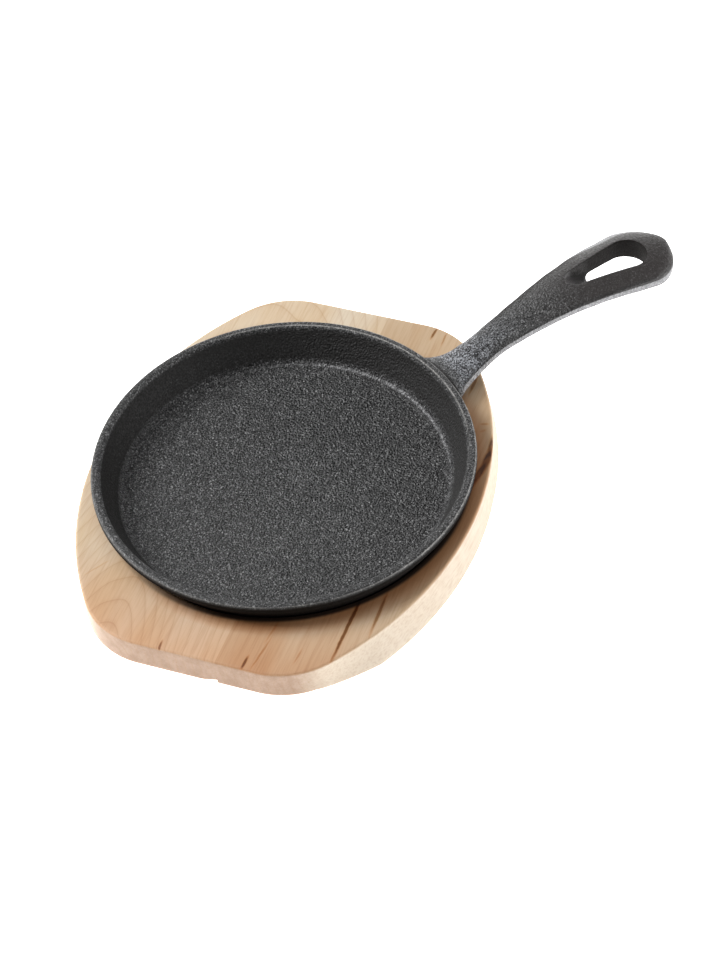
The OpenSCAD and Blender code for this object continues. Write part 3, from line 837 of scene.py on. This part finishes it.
def planed_alder(name, pale, warm, dark, pith, tilt, rings, streaks):
    """Alder sawn and planed: annual rings round a pith line, faint fibres, and dark gum streaks.

    The pith line crosses the board at a slant, so the rings it leaves on the face are nested arches
    or straight lines. The sawn end is pinkish and mottled; the side is paler than the face, sanded
    and painted light. Painted shade lies round the seat: a dark contact shadow along its edge and a
    warm shade beside it and at one end. Streaks are the marks listed below.
    """
    material, add = new_material(name)
    place = add("TexCoord").outputs["Object"]
    along = add("Mapping", Vector=place, Rotation=(0, 0, -BOARD_TURN)).outputs["Vector"]
    x, y, z = add("SeparateXYZ", Vector=along).outputs
    radius = add("VectorMath", LENGTH, add("CombineXYZ", X=x, Y=y)).outputs["Value"]
    # Noise drawn out along the board, by its length and width in metres: slow waves that bend the
    # rings, fibres and broad bands that change the tone
    drawn_out = []
    for long, wide, detail in ((1 / 9, 1 / 30, 2.0), (0.014, 0.0007, 3.0), (0.09, 0.018, 2.0)):
        stretched = add("Mapping", Vector=along, Scale=(1 / long, 1 / wide, 1 / wide))
        drawn_out.append(add("TexNoise", Vector=stretched, Scale=1.0, Detail=detail))
    slow, fibre, broad = drawn_out
    mottle = add("TexNoise", Vector=along, Scale=1 / MOTTLE, Detail=3.0, Roughness=0.6)

    # Rings by the distance from the pith line, each from pale early wood to dark late wood
    off_y = add("Math", MINUS, y, pith[0])
    off_z = add("Math", TIMES_PLUS, x, tilt, z)
    off_z = add("Math", MINUS, off_z, pith[1])
    away = add("VectorMath", LENGTH, add("CombineXYZ", X=off_y, Y=off_z)).outputs["Value"]
    away = add("Math", TIMES_PLUS, slow, 0.008, away)
    ring = add("Math", TIMES, away, 1 / RING)
    ring = add("Math", FRACTION, ring)
    late = add("ValToRGB", Fac=ring)
    stops = ((0.0, 0.2), (0.15, 0.0), (0.70, 0.12), (0.90, 0.35), (0.955, 0.9), (1.0, 0.1))
    for where, _ in stops[1:-1]:
        late.color_ramp.elements.new(where)
    for element, (_, value) in zip(late.color_ramp.elements, stops):
        element.color = (value, value, value, 1)

    # Face, sawn end and side; the side's paler colour is sanded wood and painted light
    side = add("MapRange", LINEAR, z, 0.0119, 0.0126, *FALLS)
    outer = add("MapRange", LINEAR, radius, 0.0780, 0.0790)
    foot = add("MapRange", LINEAR, z, 0.0002, 0.0006)
    for mask in (outer, foot):
        side = add("Math", TIMES, side, mask)
    end = add("Math", UNSIGNED, x)
    end = add("MapRange", SMOOTH, end, 0.088, 0.0985)
    cloud = add("MapRange", LINEAR, mottle, 0.36, 0.64)
    sawn = add("MixRGB", MIX, cloud, linear("#aa8d77"), linear("#ba9e89"))
    sanded_and_painted_light = add("MixRGB", MIX, cloud, linear("#d3c3af"), linear("#d7c9b6"))
    edge = add("MixRGB", MIX, end, sanded_and_painted_light, sawn)
    broad = add("MapRange", LINEAR, broad, 0.35, 0.65)
    tone = add("MixRGB", MIX, broad, linear(pale), linear(warm))
    tone = add("MixRGB", MIX, side, tone, edge)
    faint = add("MapRange", LINEAR, side, 0.0, 1.0, rings, 0.06)
    sawn_end = add("Math", TIMES, side, end)
    faint = add("Math", TIMES_PLUS, sawn_end, 0.18, faint)
    lines = add("Math", TIMES, late, faint)
    fibres = add("MapRange", LINEAR, fibre, 0.45, 0.72, 0.0, 0.26)
    for mask in (lines, fibres):
        tone = add("MixRGB", MIX, mask, tone, linear(dark))

    # Gum streaks and darker knots: long ellipsoids whose outline wavers by a third of a millimetre,
    # 1.2 mm deep on the face and 5 mm on the side
    waver = add("VectorMath", TIMES_PLUS, mottle.outputs["Color"], (2 * WAVER,) * 3, along)
    for x0, y0, x1, y1, height, half, strength in streaks:
        middle = [at * MM + WAVER for at in ((x0 + x1) / 2, (y0 + y1) / 2, height)]
        length = math.hypot(x1 - x0, y1 - y0) / 2 + half
        deep = 0.0012 if height == BOARD_T else 0.005
        spot = add("Mapping", {"vector_type": "TEXTURE"}, Vector=waver, Location=middle,
                   Rotation=(0, 0, math.atan2(y1 - y0, x1 - x0)),
                   Scale=(length * MM, half * MM, deep))
        spot = add("TexGradient", {"gradient_type": "SPHERICAL"}, Vector=spot).outputs["Fac"]
        spot = add("MapRange", LINEAR, spot, 0.0, 0.55, 0.0, strength)
        gum = add("MixRGB", MIX, spot, linear("#c58434"),
                  linear("#3f1d0a" if half > KNOT_HALF else "#6e4208"))
        tone = add("MixRGB", MIX, spot, tone, gum)

    # Painted shade: a dark contact shadow along the seat's edge and a warm painted shade on the
    # wood round it, most on the side towards the sloping foot, and at one end
    painted_warm_shade = add("MapRange", SMOOTH, radius, 0.0780, 0.0900, 0.70, 0.0)
    painted_contact_shadow = add("MapRange", SMOOTH, radius, 0.0768, 0.0787, 0.96, 0.0)
    shaded_side = add("MapRange", SMOOTH, y, -0.01, 0.06, 1.0, 0.1)
    # In the seat the painted shade is a ring under the edge of the pan's base, and the underside
    # has none
    ring_in = add("MapRange", SMOOTH, radius, 0.058, 0.072)
    seat = add("MapRange", LINEAR, z, 0.003, 0.004)
    for mask in (shaded_side, ring_in, seat):
        painted_warm_shade = add("Math", TIMES, painted_warm_shade, mask)
        painted_contact_shadow = add("Math", TIMES, painted_contact_shadow, mask)
    # Painted shade at the front end
    front = add("MapRange", LINEAR, x, -0.100, -0.055, 0.52, 0.0)
    painted_warm_shade = add("Math", LARGER, painted_warm_shade, front)
    top = add("MapRange", LINEAR, side, 0.0, 1.0, *FALLS)
    painted_warm_shade = add("Math", TIMES, painted_warm_shade, top)
    tone = add("MixRGB", {"blend_type": "MULTIPLY"}, painted_warm_shade, tone, linear("#f0ac68"))
    tone = add("MixRGB", MIX, painted_contact_shadow, tone, linear("#17100b"))
    bump = add("Bump", Strength=0.25, Distance=0.00008, Height=fibre)
    shader = add("BsdfPrincipled", Base_Color=tone, Roughness=0.55, IOR=1.5, Normal=bump)
    add("OutputMaterial", Surface=shader)
    return material


def opal_acrylic_lit_from_below():
    """White opal sheet over lamps: an even pale glow that hides every shadow."""
    material, add = new_material("opal_acrylic_lit_from_below")
    shader = add("BsdfPrincipled", Base_Color=linear("#f2f1ef"), Roughness=0.7, IOR=1.45,
                 Emission_Color=linear("#ffffff"), Emission_Strength=1.2)
    add("OutputMaterial", Surface=shader)
    return material


# Marks on the face and the sides, in millimetres: two ends along and across the board, height, half
# width and strength. A knot is wider than KNOT_HALF.
KNOT_HALF = 1.55
WIDE_MARKS = [(-102, 14.7, -95, 15.2, 13, 0.7, 0.9), (-101.2, 31.6, -102.2, 18, 13, 0.9, 0.4),
              (-74, 60, -62, 52, 13, 0.5, 0.3)]
NARROW_MARKS = [(-100.5, -20.4, -92.5, -20.8, 13, 0.9, 1.0), (-95, -53.1, -38, -53.4, 13, 1.1, 1.0),
                (-71, -63.2, -44, -62.2, 13, 1.0, 0.85), (-92, -39.4, -83, -40.0, 13, 0.55, 0.5),
                (-101, -23.8, -80, -26.4, 13, 0.65, 0.6), (-86, -24.4, -72, -26.1, 13, 0.6, 0.45),
                (-101, -37.2, -93, -47, 13, 0.8, 0.5), (91.5, -31.0, 100, -31.6, 13, 0.85, 0.95),
                (89, -36.7, 98.5, -36.6, 13, 0.6, 0.6), (65, -57.7, 79, -57.7, 13, 1.0, 0.85),
                (47, -75.2, 33, -77.6, 13, 1.6, 0.9),
                (40, -77.0, 24, -77.4, 13, 2.3, 0.95), (33, -77.6, 16, -75.6, 13, 2.0, 0.9),
                (24, -76.4, 11, -75.4, 13, 1.6, 0.7), (50.7, -68.2, 51.5, -71, 13, 0.9, 0.5),
                (46.5, -69.5, 48, -71, 13, 0.9, 0.4), (-67, -71.3, -64.5, -71.6, 7, 1.3, 0.22),
                (-46.5, -80.4, -44.5, -80.4, 7, 1.0, 0.25),
                (-33.8, -82.7, -32.6, -82.7, 6, 0.9, 0.22)]


# -------------------- the pieces
pan = make_pan()
blank = make_board()
wide_stave = stave("wide_alder_stave", blank, 1)
narrow_stave = stave("narrow_alder_stave", blank, -1)
bpy.data.objects.remove(blank)

pan.data.materials.append(sand_cast_iron_black_coated())
wide_stave.data.materials.append(planed_alder(
    "planed_alder_flat_sawn", pale="#d4c5af", warm="#cdb493", dark="#a27443",
    pith=(0.040, -0.0245), tilt=0.25, rings=0.40, streaks=WIDE_MARKS))
narrow_stave.data.materials.append(planed_alder(
    "planed_alder_straight", pale="#c9b59a", warm="#bfa281", dark="#9a6d3e",
    pith=(-0.115, 0.020), tilt=0.01, rings=0.20, streaks=NARROW_MARKS))

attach(pan, "pan")
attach(wide_stave, "board")
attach(narrow_stave, "board")
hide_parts("cast_iron_pan")
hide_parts("wide_board_stave")
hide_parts("narrow_board_stave")


# -------------------- stage, light and camera
# The table, 30 m square, lies just under the board, in millimetres
TABLE_HALF, TABLE_Z = 15000.0, -0.2
# The photo's camera: how far it is turned about the upright axis, its place in metres, directions
# to its right and up, film and lens in millimetres
CAMERA_TURN = math.radians(-27)
CAMERA_PLACE = Vector((-0.38249, -0.75067, 0.92873))
CAMERA_RIGHT, CAMERA_UP = Vector((0.82209, -0.56305, -0.08455)), Vector((0.46586, 0.57983, 0.66841))
FILM_W, FILM_H, LENS = 27.0, 36.0, 112.5
# Soft lights aimed at the object: metres to the camera's right, away from it and up, width and
# height in metres, and watts
LIGHTS = [("left_key", (-1.02, 0.48, 1.12), (0.8, 0.8), 27.0),
          ("top_fill", (0.0, 0.25, 1.7), (1.0, 0.7), 4.0),
          ("back_card", (0.1, 1.7, 0.25), (2.4, 0.5), 9.0),
          ("right_low", (1.3, -0.25, 0.2), (0.9, 0.5), 12.0)]
AIM = Vector((0, 0, 0.01))
WORLD_STRENGTH = 0.25

sides = ((-1, -1), (1, -1), (1, 1), (-1, 1))
corners = [(x * TABLE_HALF, y * TABLE_HALF, TABLE_Z) for x, y in sides]
floor = add_surface("pale_table", corners, [(0, 1, 2, 3)], smooth=False)
floor.data.materials.append(opal_acrylic_lit_from_below())

scene = bpy.context.scene
scene.world = bpy.data.worlds.new("studio")
scene.world.use_nodes = True
background = scene.world.node_tree.nodes["Background"].inputs
background["Color"].default_value = (1, 1, 1, 1)
background["Strength"].default_value = WORLD_STRENGTH

for name, (to_right, to_back, to_top), (width, height), power in LIGHTS:
    light = bpy.data.lights.new(name, "AREA")
    light.shape, light.size, light.size_y, light.energy = "RECTANGLE", width, height, power
    lamp = add_object(name, light)
    lamp.location = Matrix.Rotation(CAMERA_TURN, 3, "Z") @ Vector((to_right, to_back, to_top))
    lamp.rotation_euler = (AIM - lamp.location).to_track_quat("-Z", "Y").to_euler()

lens = bpy.data.cameras.new("camera")
lens.sensor_fit, lens.sensor_width, lens.sensor_height, lens.lens = "VERTICAL", FILM_W, FILM_H, LENS
camera = add_object("camera", lens)
axes = Matrix((CAMERA_RIGHT, CAMERA_UP, CAMERA_RIGHT.cross(CAMERA_UP))).transposed()
camera.matrix_world = Matrix.Translation(CAMERA_PLACE) @ axes.to_4x4()
scene.camera = camera
scene.view_settings.view_transform, scene.view_settings.look = "Standard", "None"
